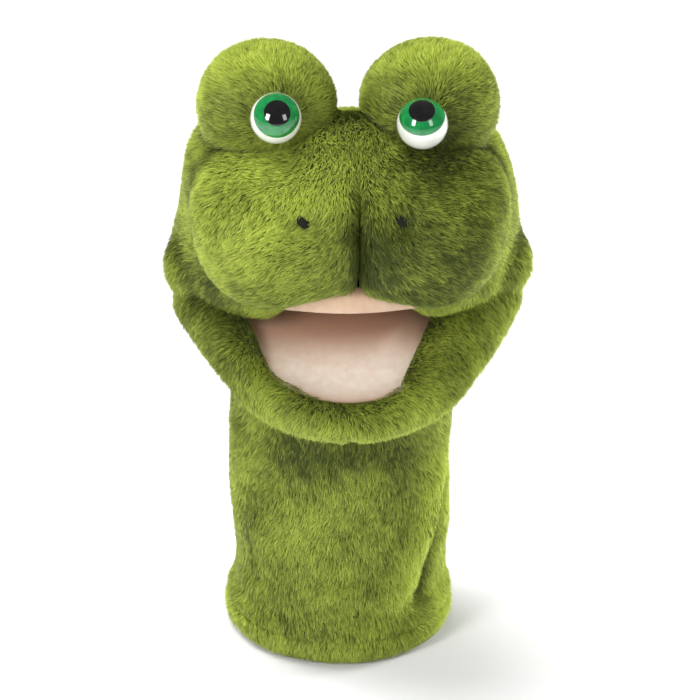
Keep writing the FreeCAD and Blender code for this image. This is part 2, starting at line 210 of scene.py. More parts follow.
def cheeks(points):
    """Gathered bunches of cloth behind the corners of the mouth."""
    upper = ellipsoid(points, (68, -12, 204), (21, 18, 21))
    lower = ellipsoid(points, (60, -15, 173), (15.5, 17, 11.5))
    last = ellipsoid(points, (46, -18, 153), (16, 19, 11))
    return join(join(upper, lower, 3), last, 5)


def mounds(points):
    return ellipsoid(points, MOUND, (MOUND_RADIUS - 2, MOUND_RADIUS - 3, MOUND_RADIUS - 5))


def muzzle(points):
    """Two stuffed lobes hung from a broad brow that rises between the eyes, creased below."""
    mirrored = one_side(points)
    lobes = ellipsoid(mirrored, (36, -57, 244), (37.5, 38, 36))
    brow = ellipsoid(points, (-1, -40, 255), (51, 38, 39))
    between = ellipsoid(points, (0, -60, 250), (46, 33, 32))
    tops = ellipsoid(mirrored, (48, -46, 256), (28, 34, 27))
    whole = join(join(join(lobes, tops, 8), brow, 10), between, 14)
    seam = np.exp(-((points[:, 0] - MUZZLE_SEAM) / 3) ** 2) * ease(points[:, 1], -45, -70)
    seam = seam * 7.5 * ease(points[:, 2], 288, 262)
    holes = 3.6 * bump(mirrored, NOSTRIL + (0, 1, 0), (5, 6, 3.6))
    return whole + seam + holes


def mouth_room(points):
    """The wedge of space under the palate and in front of the hinge."""
    mirrored = one_side(points)
    roof = along(points, HINGE, PALATE_UP) - 3 + 6 * ease(mirrored[:, 0], 26, 42)
    back = points[:, 1] - (HINGE[1] + 3 - 5 * ease(mirrored[:, 0], 50, 66))
    return np.maximum(roof, back)


def upper_parts(points):
    """The fields of the throat, hood, cheeks, mounds and muzzle, in that order."""
    mirrored = one_side(points)
    return [throat(points), hood(points), cheeks(mirrored), mounds(mirrored), muzzle(points)]


def upper(points):
    neck, back, side, mound, nose = upper_parts(points)
    whole = join(neck, back, 12)
    whole = join(whole, side, 4)
    whole = join(whole, mound, 6)
    open_mouth = mouth_room(points)
    front = meet(join(whole, nose, 5), -open_mouth, 7)
    return join(front, meet(neck, points[:, 2] - 186, 6), 3)


# ---- The lower jaw ----

def jaw_places(points):
    """Across, outward and upward places in the lower jaw's own tilted frame."""
    return points[:, 0], along(points, HINGE, JAW_OUT), along(points, HINGE, JAW_UP)


def lip_core(points):
    """Distance outside the roll's core line, height over it, the roll's radius and the way out."""
    across, out, up = jaw_places(points)
    slope = across / LIP_SPREAD
    side = ease(np.abs(across), 34, 66)
    inward = 3.2 * side + 3.4 * ease(across, 12, 40)
    radius = 6.8 + 5.6 * side + inward
    broad = 6.0 * ease(across, 14, 44)
    steep = np.sqrt(1 + 4 * slope * slope)
    gap = (out + across * slope - LIP_FRONT) / steep + inward + broad
    way = (np.outer(2 * slope, (1, 0, 0)) + JAW_OUT) / steep[:, None]
    return gap * radius / (radius + broad), up + 8.0 - 3.0 * side, radius, way


def lip(points):
    """The furry roll that runs round the jaw, thin in front and fat at the corners."""
    across, out, up = jaw_places(points)
    gap, height, radius, _ = lip_core(points)
    behind = np.minimum(out + 2, 0)
    notch = 2.6 * np.exp(-(across / 3) ** 2) * ease(-up, 3, 12)
    return np.sqrt(gap ** 2 + height ** 2 + behind ** 2) - radius + notch


def chin(points):
    across, out, up = jaw_places(points)
    local = np.column_stack((across, out, up))
    pad = ellipsoid(local, (0, 36, -13), (54, 34, 13))
    return meet(pad, up + 5, 3)


def lower(points):
    return join(lip(points), chin(points), 9)


# ---- From a field to a mesh ----

def crossed(value, axis, cells):
    """The grid edges along one axis that the zero surface crosses, and where, and which way."""
    ends = [slice(None)] * 3
    ends[axis] = slice(0, -1)
    first = value[tuple(ends)]
    ends[axis] = slice(1, None)
    last = value[tuple(ends)]
    edge = np.argwhere((first < 0) != (last < 0))
    others = [(axis + 1) % 3, (axis + 2) % 3]
    inside = (edge[:, others] > 0).all(axis=1) & (edge[:, others] < cells[others]).all(axis=1)
    edge = edge[inside]
    start, stop = first[tuple(edge.T)], last[tuple(edge.T)]
    place = edge.astype(float)
    place[:, axis] += start / (start - stop)
    return edge, place, start > 0


def cells_round(edge, axis, cells):
    """The numbers of the four cells that share each edge, in order round it."""
    ring = []
    for back_one, back_other in ((0, 0), (1, 0), (1, 1), (0, 1)):
        cell = edge.copy()
        cell[:, (axis + 1) % 3] -= back_one
        cell[:, (axis + 2) % 3] -= back_other
        ring.append(np.ravel_multi_index(cell.T, cells))
    return ring


def settle(field, points):
    """Moves points onto the zero surface along its slope."""
    for _ in range(2):
        slope = gradient(field, points)
        points -= slope * (field(points) / np.maximum((slope * slope).sum(axis=1), 0.05))[:, None]
    return points


def surface(field, low, high, step):
    """One point in each cell that the zero surface crosses, and a quad over each crossed edge."""
    axes = [np.arange(a, b + step, step) for a, b in zip(low, high)]
    grid = np.stack(np.meshgrid(*axes, indexing="ij"), axis=-1).reshape(-1, 3)
    value = field(grid).reshape([len(a) for a in axes])
    cells = np.array(value.shape) - 1
    total = np.zeros((cells.prod(), 3))
    count = np.zeros(cells.prod())
    quads = []
    for axis in range(3):
        edge, place, falling = crossed(value, axis, cells)
        ring = cells_round(edge, axis, cells)
        for flat in ring:
            for k in range(3):
                total[:, k] += np.bincount(flat, place[:, k], len(count))
            count += np.bincount(flat, minlength=len(count))
        quad = np.stack(ring, axis=1)
        quads.append(np.where(falling[:, None], quad, quad[:, ::-1]))
    used = np.flatnonzero(count)
    number = np.full(len(count), -1)
    number[used] = np.arange(len(used))
    points = total[used] / count[used, None] * step + np.array(low, float)
    return settle(field, points), number[np.concatenate(quads)]


def gradient(field, points, reach=0.6):
    """The slope of a field at each point, from differences over a short reach."""
    slope = np.empty_like(points)
    for k in range(3):
        step = np.zeros(3)
        step[k] = reach
        slope[:, k] = (field(points + step) - field(points - step)) / (2 * reach)
    return slope


def outward(field, points):
    """The way straight out of the surface at each point."""
    slope = gradient(field, points, 1.2)
    return slope / np.maximum(np.linalg.norm(slope, axis=1), 1e-9)[:, None]


def part_of(points, normals, quads, keep):
    """The faces of a mesh that keep is true for, with only the points that they use."""
    chosen = quads[keep]
    used, faces = np.unique(chosen, return_inverse=True)
    return points[used], normals[used], faces.reshape(chosen.shape)


def thicken(points, normals, quads, thickness):
    """A sheet with an inner side and a rim round its open edges."""
    count = len(points)
    edges = np.concatenate([quads[:, [k, (k + 1) % 4]] for k in range(4)])
    key = np.sort(edges, axis=1)
    _, first, uses = np.unique(key, axis=0, return_index=True, return_counts=True)
    rim = edges[first[uses == 1]]
    side = np.column_stack((rim[:, 1], rim[:, 0], rim[:, 0] + count, rim[:, 1] + count))
    inner = points - normals * thickness
    return np.vstack((points, inner)), np.vstack((quads, quads[:, ::-1] + count, side))


def grid_of(rows, columns):
    """Quads over a grid of points numbered row by row."""
    index = np.arange(rows * columns).reshape(rows, columns)
    return np.stack((index[:-1, :-1], index[:-1, 1:], index[1:, 1:], index[1:, :-1]), axis=2).reshape(-1, 4)


def loops_of(rings, rays):
    """Quads round a tube or dome of closed rings of points."""
    index = np.arange(rings * rays).reshape(rings, rays)
    after = np.roll(index, -1, axis=1)
    return np.stack((index[:-1], index[1:], after[1:], after[:-1]), axis=2).reshape(-1, 4)


def placed(name, data):
    """An object in the scene that shows a mesh, a light or a camera."""
    item = bpy.data.objects.new(name, data)
    bpy.context.scene.collection.objects.link(item)
    return item


def new_object(name, points, quads, material):
    """A smooth mesh object from points in millimetres and an array of faces."""
    mesh = bpy.data.meshes.new(name)
    corners = quads.shape[1]
    mesh.vertices.add(len(points))
    mesh.vertices.foreach_set("co", (points * MM).astype(np.float32).ravel())
    mesh.loops.add(quads.size)
    mesh.loops.foreach_set("vertex_index", quads.astype(np.int32).ravel())
    mesh.polygons.add(len(quads))
    mesh.polygons.foreach_set("loop_start", np.arange(0, quads.size, corners, dtype=np.int32))
    mesh.polygons.foreach_set("use_smooth", np.ones(len(quads), bool))
    mesh.update(calc_edges=True)
    mesh.materials.append(material)
    return placed(name, mesh)


# ---- Pile ----

def hashed(cells, seed):
    """A steady random number from 0 to 1 for each row of whole numbers."""
    mixed = cells.astype(np.int64) @ np.array([73856093, 19349663, 83492791]) + seed * 2654435761
    mixed = (mixed ^ (mixed >> 13)) * 1274126177
    return ((mixed ^ (mixed >> 16)) & 0xFFFFF) / 0xFFFFF


def drift(points, seed, size):
    """Smooth noise from about -1 to 1 whose lumps are about size across."""
    numbers = np.random.default_rng(seed)
    total = np.zeros(len(points))
    for _ in range(7):
        direction = numbers.normal(size=3)
        direction *= 2 * math.pi / (size * numbers.uniform(1.2, 2.6)) / np.linalg.norm(direction)
        total += np.sin(points @ direction + numbers.uniform(0, 6.28))
    return total / 2.6


def scatter(points, normals, quads, density, numbers):
    """Places and normals spread evenly over a surface."""
    triangles = np.vstack((quads[:, :3], quads[:, [0, 2, 3]]))
    a, b, c = (points[triangles[:, k]] for k in range(3))
    area = np.linalg.norm(np.cross(b - a, c - a), axis=1) / 2
    count = int(area.sum() * density)
    chosen = np.searchsorted(np.cumsum(area), numbers.uniform(0, area.sum(), count))
    chosen = np.minimum(chosen, len(triangles) - 1)
    one = np.sqrt(numbers.uniform(0, 1, count))
    two = numbers.uniform(0, 1, count)
    weights = np.column_stack((1 - one, one * (1 - two), one * two))
    corners = triangles[chosen]
    place = (points[corners] * weights[:, :, None]).sum(axis=1)
    normal = (normals[corners] * weights[:, :, None]).sum(axis=1)
    return place, unit(normal)


def unit(vectors):
    return vectors / np.maximum(np.linalg.norm(vectors, axis=1), 1e-9)[:, None]


def flat_on(vectors, normals):
    """The part of each vector that lies along the surface, one long."""
    return unit(vectors - normals * (vectors * normals).sum(axis=1)[:, None])


def strand_way(root, normal, tuft, nap, numbers):
    """The way each strand leans along the skin: the nap, swirled, gathered in tufts and roughened."""
    way = flat_on(nap(root), normal)
    swirl = 0.45 * drift(root, seed=5, size=24)[:, None]
    rough = 0.16 * numbers.normal(size=root.shape)
    return flat_on(way + np.cross(normal, way) * swirl + tuft * 0.42 + rough, normal)


def strand_rise(root, tuft, numbers):
    """How steeply each strand stands off the skin."""
    rise = 0.62 + 0.22 * drift(root, seed=9, size=15) + 0.16 * tuft[:, 1]
    rise = rise + 0.12 * numbers.normal(size=len(root))
    return np.clip(rise, 0.25, 1.1)[:, None]


def strand_shade(root, tuft, numbers):
    """How light each strand is, from 0 to 1: random mottling and tufts, with painted light and shade added
    at places.
    """
    shade = 0.52 + 0.11 * drift(root, seed=3, size=20) + 0.07 * drift(root, seed=4, size=7)
    shade = shade + 0.26 * tuft[:, 0] + 0.16 * numbers.normal(size=len(root)) + tone_with_painted_light(root)
    return np.clip(shade, 0.02, 0.98)


def strands(name, skin, nap, density, seed, covered):
    """Pile on a skin: each strand is a bent ribbon that leans along the nap and ends in a point."""
    numbers = np.random.default_rng(seed)
    root, normal = scatter(*skin, density, numbers)
    free = covered(root)
    root, normal = root[free], normal[free]
    cell = np.floor((root + 0.4 * numbers.normal(size=root.shape)) / TUFT)
    tuft = np.column_stack([hashed(cell, seed + k) for k in range(3)]) - 0.5
    way = strand_way(root, normal, tuft, nap, numbers)
    rise = strand_rise(root, tuft, numbers)
    long = (PILE * numbers.uniform(0.72, 1.12, len(root)) * (1 + 0.2 * tuft[:, 2]))[:, None]
    lower_way = unit(normal * (rise + 0.45) + way * 0.7)
    upper_way = unit(normal * rise * 0.62 + way)
    base = root - normal * ROOT_DEPTH
    mid = base + lower_way * long * 0.52
    tip = mid + upper_way * long * 0.56
    for place in (base, mid, tip):
        place[:, 2] = np.maximum(place[:, 2], FLOOR_GAP)
    width = numbers.uniform(*STRAND_HALF_WIDTHS, len(root))[:, None]
    turn = numbers.normal(size=len(root))[:, None] * 0.55
    side = unit(np.cross(lower_way, normal) + normal * turn * 0.6) * width
    points = np.stack((base - side, base + side, mid + side * 0.85, mid - side * 0.85, tip), axis=1)
    low_shine, high_shine = hair_normal(lower_way, normal), hair_normal(upper_way, normal)
    shine = np.stack((low_shine, low_shine, high_shine, high_shine, high_shine), axis=1)
    return ribbon_mesh(name, points, shine, strand_shade(root, tuft, numbers))


def crease(points):
    """1 where two lobes of the head meet, falling to nothing a few millimetres away: the mask for the
    painted shade in the creases.
    """
    neck, back, side, mound, nose = upper_parts(points)
    ordered = np.sort(np.stack((np.minimum(neck, back), side, mound, nose)), axis=0)
    return np.exp(-((ordered[1] - ordered[0]) / 3.4) ** 2) * np.exp(-np.maximum(ordered[0] - 2, 0) / 4)


# Patches of painted light and shade on the pile: how much lighter, or darker below zero, where, and how far
# it spreads.
PAINTED_LIGHT_AND_SHADE_PATCHES = (
    # painted shade over the right lobe of the muzzle, on the side away from the main light
    (-0.52, (40, -80, 252), (26, 40, 30)),
    # painted shade in the crease under the right eye
    (-0.26, (50, -60, 286), (20, 14, 8)),
    # painted light along the front of the lower jaw's roll
    (0.14, (0, -92, 152), (64, 16, 16)),
    # painted shade down the crease in the middle of the muzzle
    (-0.60, (MUZZLE_SEAM + 1, -88, 250), (2.8, 24, 18)),
    # painted shade beside that crease, on the right lobe
    (-0.25, (13, -90, 238), (9, 20, 16)),
    # painted light over the left lobe of the muzzle, on the side towards the main light
    (0.22, (-44, -80, 258), (26, 40, 26)),
    # painted highlight along the ridge over the top of the muzzle
    (0.22, (-6, -66, 284), (44, 16, 7)),
    # painted shade on the left cheek
    (-0.30, (-64, -44, 204), (9, 22, 34)),
    # painted shade down the left side of the head
    (-0.12, (-74, -20, 230), (16, 30, 50)),
    # painted shadow under the chin, on the neck and the top of the sleeve
    (-0.42, (-8, -50, 119), (34, 16, 9)),
)
# Painted shade of the same kind on both sides of the head.
PAIRED_PAINTED_SHADE_PATCHES = (
    # painted shade in the dimples round the nostrils
    (-0.45, NOSTRIL, (3.4, 8, 2.6)),
    # painted shade over the front of each eye mound
    (-0.12, MOUND + (-4, -30, 4), (20, 20, 16)),
)


def tone_with_painted_light(points):
    """How much lighter or darker than the rest the pile is coloured at a place: mostly painted light and
    shade, from the patches, the sleeve's fold, the right side, the top and the creases.
    """
    height = points[:, 2]
    change = sum(weight * bump(points, place, spread) for weight, place, spread in PAINTED_LIGHT_AND_SHADE_PATCHES)
    mirrored = one_side(points)
    change += sum(weight * bump(mirrored, place, spread) for weight, place, spread in PAIRED_PAINTED_SHADE_PATCHES)
    ridge, valley = slant_fold(np.arctan2(points[:, 1], points[:, 0] - lean(height)), height)
    # painted highlight along the fold's ridge and painted shade in its valley
    change += 0.52 * ridge - 0.34 * valley
    # painted light down the right side of the sleeve, towards the rim light
    change += 0.24 * ease(points[:, 0], 30, 48) * (1 - ease(height, 90, 120))
    # lighter below the hem's seam
    change += 0.14 * (1 - ease(height, HEM_SEAM - 2, HEM_SEAM + 2))
    # a little darker below the neck and high on the head
    change -= 0.05 * (1 - ease(height, 120, 150)) + 0.07 * ease(height, 280, 300)
    # painted light over the tops of the eye mounds and the head
    change += 0.20 * ease(height, 304, 326)
    # painted shade in the creases between the lobes
    return change - 0.34 * crease(points)


def hair_normal(direction, normal):
    """A shading normal between the skin's and the strand's own."""
    across = unit(normal - direction * (normal * direction).sum(axis=1)[:, None])
    return unit(0.55 * normal + 0.6 * across)


def ribbon_mesh(name, points, shine, shade):
    """A quad and a pointed triangle for each strand, with its shade and height in the UV map."""
    count = len(points)
    first = np.arange(count)[:, None] * 5
    order = np.array([0, 1, 2, 3, 3, 2, 4])
    mesh = bpy.data.meshes.new(name)
    mesh.vertices.add(count * 5)
    mesh.vertices.foreach_set("co", (points * MM).astype(np.float32).ravel())
    mesh.loops.add(count * 7)
    mesh.loops.foreach_set("vertex_index", (first + order).astype(np.int32).ravel())
    starts = np.arange(count)[:, None] * 7 + np.array([0, 4])
    mesh.polygons.add(count * 2)
    mesh.polygons.foreach_set("loop_start", starts.astype(np.int32).ravel())
    mesh.polygons.foreach_set("use_smooth", np.ones(count * 2, bool))
    mesh.update(calc_edges=True)
    height = np.array([0.02, 0.02, 0.52, 0.52, 0.52, 0.52, 0.98])
    shades, heights = np.repeat(shade[:, None], 7, axis=1), np.repeat(height[None], count, axis=0)
    places = np.stack((shades, heights), axis=2)
    layer = mesh.uv_layers.new(name="OFBake")
    layer.uv.foreach_set("vector", places.astype(np.float32).ravel())
    normals = mesh.attributes.new("custom_normal", "FLOAT_VECTOR", "POINT")
    normals.data.foreach_set("vector", shine.astype(np.float32).ravel())
    mesh.materials.append(PILE_MATERIAL)
    return placed(name, mesh)


# ---- Materials ----

def new_material(name):
    material = bpy.data.materials.new(name)
    material.use_nodes = True
    nodes = material.node_tree.nodes
    return material, nodes, material.node_tree.links, nodes["Principled BSDF"]


def set_inputs(node, values):
    for word, value in values.items():
        node.inputs[word].default_value = value


def mix_of(material, factor, first, second):
    """A colour between two others, each of them a fixed colour or a socket."""
    node = material.node_tree.nodes.new("ShaderNodeMix")
    node.data_type = "RGBA"
    material.node_tree.links.new(factor, node.inputs["Factor"])
    for word, colour in (("A", first), ("B", second)):
        if isinstance(colour, tuple):
            node.inputs[word].default_value = colour
        else:
            material.node_tree.links.new(colour, node.inputs[word])
    return node.outputs["Result"]


def clouded(material, scale, detail, stops):
    """Colours a material by soft noise, and returns the node that its places come from."""
    nodes, links = material.node_tree.nodes, material.node_tree.links
    place = nodes.new("ShaderNodeTexCoord")
    noise = nodes.new("ShaderNodeTexNoise")
    set_inputs(noise, {"Scale": scale, "Detail": detail})
    links.new(place.outputs["Object"], noise.inputs["Vector"])
    colour = ramp(nodes, stops)
    links.new(noise.outputs["Fac"], colour.inputs[0])
    links.new(colour.outputs[0], nodes["Principled BSDF"].inputs["Base Color"])
    return place


def ramp(nodes, stops):
    """A colour ramp from pairs of place and colour."""
    stops = list(stops)
    node = nodes.new("ShaderNodeValToRGB")
    points = node.color_ramp.elements
    while len(points) < len(stops):
        points.new(0.5)
    for point, (place, colour) in zip(points, stops):
        point.position = place
        point.color = (*colour, 1)
    return node


# Colours of a strand at its root, middle and tip. The roots are far darker than the tips: painted shade
# deep in the pile.
STRAND_STOPS = (0.0, 0.45, 1.0)
DARK_STRAND = ((0.008, 0.011, 0.002), (0.030, 0.042, 0.005), (0.075, 0.098, 0.011))
LIGHT_STRAND = ((0.050, 0.070, 0.006), (0.33, 0.43, 0.034), (0.76, 0.89, 0.15))
# Painted shade deep in the throat, on the mouth's linings.
THROAT_SHADE_BROWN = (0.46, 0.27, 0.18, 1)
EDGE_BROWN = (0.40, 0.20, 0.10, 1)


def pile_material():
    """Strand colour by shade along one way of the map and by height from root to tip along the other."""
    material, nodes, links, shader = new_material("plush_pile")
    place = nodes.new("ShaderNodeUVMap")
    place.uv_map = "OFBake"
    split = nodes.new("ShaderNodeSeparateXYZ")
    links.new(place.outputs["UV"], split.inputs[0])
    dark = ramp(nodes, zip(STRAND_STOPS, DARK_STRAND))
    light = ramp(nodes, zip(STRAND_STOPS, LIGHT_STRAND))
    links.new(split.outputs["Y"], dark.inputs[0])
    links.new(split.outputs["Y"], light.inputs[0])
    colour = mix_of(material, split.outputs["X"], dark.outputs[0], light.outputs[0])
    links.new(colour, shader.inputs["Base Color"])
    set_inputs(shader, {"Roughness": 0.62, "Specular IOR Level": 0.25, "Sheen Weight": 0.22,
                        "Sheen Roughness": 0.35, "Sheen Tint": (0.80, 0.95, 0.36, 1)})
    return material


def cloth_material(name, dark, light, scale, roughness, relief=0.15):
    """A knitted or woven cloth: mottled colour and a fine thread relief."""
    material, nodes, links, shader = new_material(name)
    place = clouded(material, scale / 9, 6, [(0.3, dark), (0.7, light)])
    thread = nodes.new("ShaderNodeTexVoronoi")
    thread.inputs["Scale"].default_value = scale
    links.new(place.outputs["Object"], thread.inputs["Vector"])
    lift = nodes.new("ShaderNodeBump")
    set_inputs(lift, {"Strength": relief, "Distance": 0.0004})
    links.new(thread.outputs["Distance"], lift.inputs["Height"])
    links.new(lift.outputs["Normal"], shader.inputs["Normal"])
    set_inputs(shader, {"Roughness": roughness, "Sheen Weight": 0.25, "Sheen Roughness": 0.5})
    return material


def lining_material(name, reach, dark, light):
    """Brushed knit, with painted shade in brown at the throat that is clear from reach in front of the
    hinge.
    """
    material = cloth_material(name, dark, light, 2000, 0.85, 0.3)
    nodes, links = material.node_tree.nodes, material.node_tree.links
    shader = nodes["Principled BSDF"]
    plain = shader.inputs["Base Color"].links[0].from_socket
    place = nodes.new("ShaderNodeTexCoord")
    split = nodes.new("ShaderNodeSeparateXYZ")
    links.new(place.outputs["Object"], split.inputs[0])
    spread = nodes.new("ShaderNodeMapRange")
    spread.interpolation_type = "SMOOTHSTEP"
    set_inputs(spread, {"From Min": (HINGE[1] - 12) * MM, "From Max": (HINGE[1] - reach) * MM})
    links.new(split.outputs["Y"], spread.inputs["Value"])
    edge = nodes.new("ShaderNodeAttribute")
    edge.attribute_name = "edge"
    # painted shade: brown at the throat, fading out towards the front
    throat_shaded = mix_of(material, spread.outputs["Result"], THROAT_SHADE_BROWN, plain)
    links.new(mix_of(material, edge.outputs["Fac"], throat_shaded, EDGE_BROWN), shader.inputs["Base Color"])
    return material


PILE_MATERIAL = pile_material()
BACKING = cloth_material("plush_backing", (0.030, 0.055, 0.006), (0.060, 0.100, 0.012), 1400, 0.9)
TONGUE_LINING = lining_material("lower_lining_knit", 40, (0.91, 0.78, 0.66), (0.99, 0.90, 0.80))
# The palate's lining is the same cloth as the tongue's, coloured darker as painted shade on the palate,
# which faces down.
PALATE_LINING = lining_material("upper_lining_knit", 54, (0.66, 0.47, 0.33), (0.78, 0.59, 0.44))
FILLING = cloth_material("polyester_filling_fibre", (0.80, 0.80, 0.79), (0.93, 0.93, 0.92), 500, 0.95, 0.5)


# ---- Skins ----

def side_of(x):
    """0 for places on the left, and 1 for places on the right."""
    return np.where(x * SIDES["left"] > 0, 0, 1)


def make_upper_skins():
    """The patches of the head's skin by name, each as (points, normals, quads)."""
    points, quads = surface(upper, (-100, -112, SLEEVE_TOP - 3), (100, 74, 340), UPPER_STEP)
    normals = outward(upper, points)
    centre = points[quads].mean(axis=1)
    parts = np.array(upper_parts(centre))
    parts[0] = np.where(centre[:, 2] < 182, parts[0], 99)
    which = parts.argmin(axis=0)
    which = np.where(centre[:, 2] < 150, np.where(which == 2, 2, 0), which)
    above = centre[:, 2] > SLEEVE_TOP
    side = side_of(centre[:, 0])
    front = centre[:, 1] < 0
    skins = {
        "neck_front": part_of(points, normals, quads, above & (which == 0) & front),
        "neck_back": part_of(points, normals, quads, above & (which == 0) & ~front),
        "head_back": part_of(points, normals, quads, above & (which == 1)),
    }
    for number, name in ((2, "cheek"), (3, "eye_mound"), (4, "muzzle")):
        for index, word in enumerate(("left", "right")):
            chosen = above & (which == number) & (side == index)
            skins[name + "_" + word] = part_of(points, normals, quads, chosen)
    return skins


def make_lower_skins():
    points, quads = surface(lower, (-90, -112, 120), (90, 0, 215), LOWER_STEP)
    normals = outward(lower, points)
    centre = points[quads].mean(axis=1)
    roll, pad = lip(centre), chin(centre)
    side = side_of(centre[:, 0])
    under = pad < roll - 2
    skins = {"chin_panel": part_of(points, normals, quads, under)}
    for index, word in enumerate(("left", "right")):
        skins["lower_jaw_" + word] = part_of(points, normals, quads, ~under & (side == index))
    return skins


def make_sleeve_skins():
    """Front and back halves of the sleeve, from the hem to the neck seam."""
    rows = np.linspace(0.6, SLEEVE_TOP + 1.0, 62)
    skins = {}
    for name, start in (("sleeve_front", -math.pi), ("sleeve_back", 0.0)):
        angles = np.linspace(start, start + math.pi, 91)
        angle, height = (g.ravel() for g in np.meshgrid(angles, rows))
        radius = sleeve_radius(angle, height)
        points = np.column_stack((radius * np.cos(angle) + lean(height), radius * np.sin(angle), height))
        skins[name] = (points, outward(tube, points), grid_of(len(rows), len(angles)))
    return skins


# ---- Which way the pile lies ----

def down_nap(points):
    """Straight down, and a little outwards at the sides."""
    return np.column_stack((0.25 * np.tanh(points[:, 0] / 25), 0 * points[:, 0], -np.ones(len(points))))


def mound_nap(points):
    """Away from the eye in all directions."""
    sign = np.sign(points[:, 0])
    return points - (EYE + (-4, -4, -4)) * np.column_stack((sign, np.ones((len(points), 2))))


def muzzle_nap(points):
    """Forward over the brow and down in front, and sideways from the crease lower down."""
    part = np.tanh((points[:, 0] - MUZZLE_SEAM) / 14) * ease(points[:, 2], 290, 255)
    aside = points[:, 0] / 60 + 1.2 * part
    return np.column_stack((aside, np.full(len(points), -0.5), np.full(len(points), -1.0)))


def jaw_nap(points):
    """Up from the lining, over the roll and down its outer side."""
    gap, height, _, way = lip_core(points)
    return way * (height + 3)[:, None] - np.outer(gap, JAW_UP)


def back_nap(points):
    """Back and down from the brow."""
    return points - np.array((0, -70, 300))


# ---- Where no pile grows: under the linings ----

def off_palate(points):
    """True except under the palate's lining and round the stitches."""
    out, up = along(points, HINGE, PALATE_OUT), along(points, HINGE, PALATE_UP)
    gap = PALATE_RADIUS - 2 - np.hypot(points[:, 0], np.maximum(out - PALATE_LEG, 0))
    return ((gap < 0) | (np.abs(up) > 8) | (out < 0)) & ~by_nostril(points)


def by_nostril(points):
    """The small slanted ovals round the stitches of the nostrils."""
    bare = np.zeros(len(points), bool)
    for side, (x, z) in STITCH_WAY.items():
        aside = points - NOSTRIL * (SIDES[side], 1, 1)
        long_way, short_way = aside[:, 0] * x + aside[:, 2] * z, aside[:, 2] * x - aside[:, 0] * z
        bare |= (long_way / 2.8) ** 2 + (short_way / 1.1) ** 2 < 1
    return bare & (points[:, 1] < -70)


def anywhere(points):
    return np.ones(len(points), bool)


def off_tongue(points):
    """True except just under the lower jaw's lining."""
    across, out, up = jaw_places(points)
    gap = TONGUE_RADIUS - 2 - np.hypot(across, np.maximum(out - LIP_LEG, 0))
    return (gap < 0) | (up < -8) | (up > 0)


def off_throat(points):
    """True except on the wall behind the throat, where the linings hide it."""
    aside = np.abs(points[:, 0])
    shown = (aside > PALATE_RADIUS - 2) | ((points[:, 2] > HINGE[2] - 1) & (aside > 22))
    return (np.abs(mouth_room(points)) > 5) | shown


# ---- Bodies and CAD nodes of each skin ----

def attach(item, name):
    """Rides a piece on the body that its cloth belongs to, or for the sleeve, neck and cheeks bakes its
    place into its mesh.
    """
    if name.startswith("sleeve"):
        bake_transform(item)
    elif name.startswith("neck"):
        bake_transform(item)
    elif name.startswith("cheek"):
        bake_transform(item)
    elif name.startswith("lower") or name == "chin_panel":
        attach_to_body(item, "lower_jaw")
    else:
        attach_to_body(item, "head")


def make_skin(name, skin, nap, density, seed, covered):
    """One panel of plush: its backing and its pile."""
    points, quads = thicken(*skin, SKIN)
    item = new_object(name + "_skin", points, quads, BACKING)
    attach(item, name)
    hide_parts(name)
    fur = strands(name + "_pile", skin, nap, density, seed, covered)
    attach(fur, name)


NAPS = {"eye_mound": mound_nap, "muzzle": muzzle_nap, "lower_jaw": jaw_nap, "chin": jaw_nap,
        "head_back": back_nap, "cheek": down_nap, "neck": down_nap, "sleeve": down_nap}
FILLS = {"eye_mound": 0.8, "muzzle": 0.7, "lower_jaw": 0.5}
COVERED = {"lower_jaw": off_tongue, "chin": off_tongue, "muzzle": off_palate, "head_back": off_throat}
FIRST_SEED = 11


def of_kind(name, table, default=None):
    """What a table holds for the kind of panel that a name starts with."""
    return next((table[kind] for kind in table if name.startswith(kind)), default)


def make_skins():
    skins = make_upper_skins()
    skins.update(make_lower_skins())
    skins.update(make_sleeve_skins())
    density = PILE_DENSITY
    for number, (name, skin) in enumerate(sorted(skins.items())):
        nap, fill, covered = of_kind(name, NAPS), of_kind(name, FILLS), of_kind(name, COVERED, anywhere)
        make_skin(name, skin, nap, density, FIRST_SEED + number, covered)


make_skins()


# ---- Linings of the mouth ----

def plate(radius, leg, height, rings, rays):
    """A U-shaped sheet fanned out from the hinge: across, out, height and gap to the edge of each point."""
    turn = np.linspace(-math.pi / 2, math.pi / 2, rays)
    reach_side = radius / np.maximum(np.abs(np.sin(turn)), 1e-6)
    arc = leg * np.cos(turn) + np.sqrt(np.maximum(radius ** 2 - (leg * np.sin(turn)) ** 2, 0))
    reach = np.where(reach_side * np.cos(turn) < leg, reach_side, arc)
    share = np.linspace(0.004, 1, rings) ** 0.8
    across = (share[:, None] * (reach * np.sin(turn))[None]).ravel()
    out = (share[:, None] * (reach * np.cos(turn))[None]).ravel()
    gap = radius - np.hypot(across, np.maximum(out - leg, 0))
    return across, out, height(out, gap, across), gap


def upper_height(out, gap, across):
    """The palate sags in the middle and turns up over the front lip."""
    sag = -2.2 * ease(out, 18, 50) * np.exp(-(across / 34) ** 2)
    curl = 13 * (1 - ease(gap, 0, 5)) * ease(out, 20, 50) * (1 - 0.7 * ease(np.abs(across), 24, 36))
    return 0.6 + sag + curl


def lower_height(out, gap, across):
    """Turned up a little at its edge, with a soft ridge to the right of the throat."""
    ridge = 2.6 * np.exp(-((across - 33 + out * 0.5) / 6) ** 2) * (1 - ease(out, 18, 38))
    return -1.0 + ridge + 1.5 * (1 - ease(gap, 0, 10)) + 0.5 * np.sin(across / 17) * ease(out, 6, 20)


def from_hinge(across, out, up, out_way, up_way):
    """Places in the frame of the palate or the tongue, as points of the whole."""
    return HINGE + across[:, None] * np.array((1, 0, 0)) + out[:, None] * out_way + up[:, None] * up_way


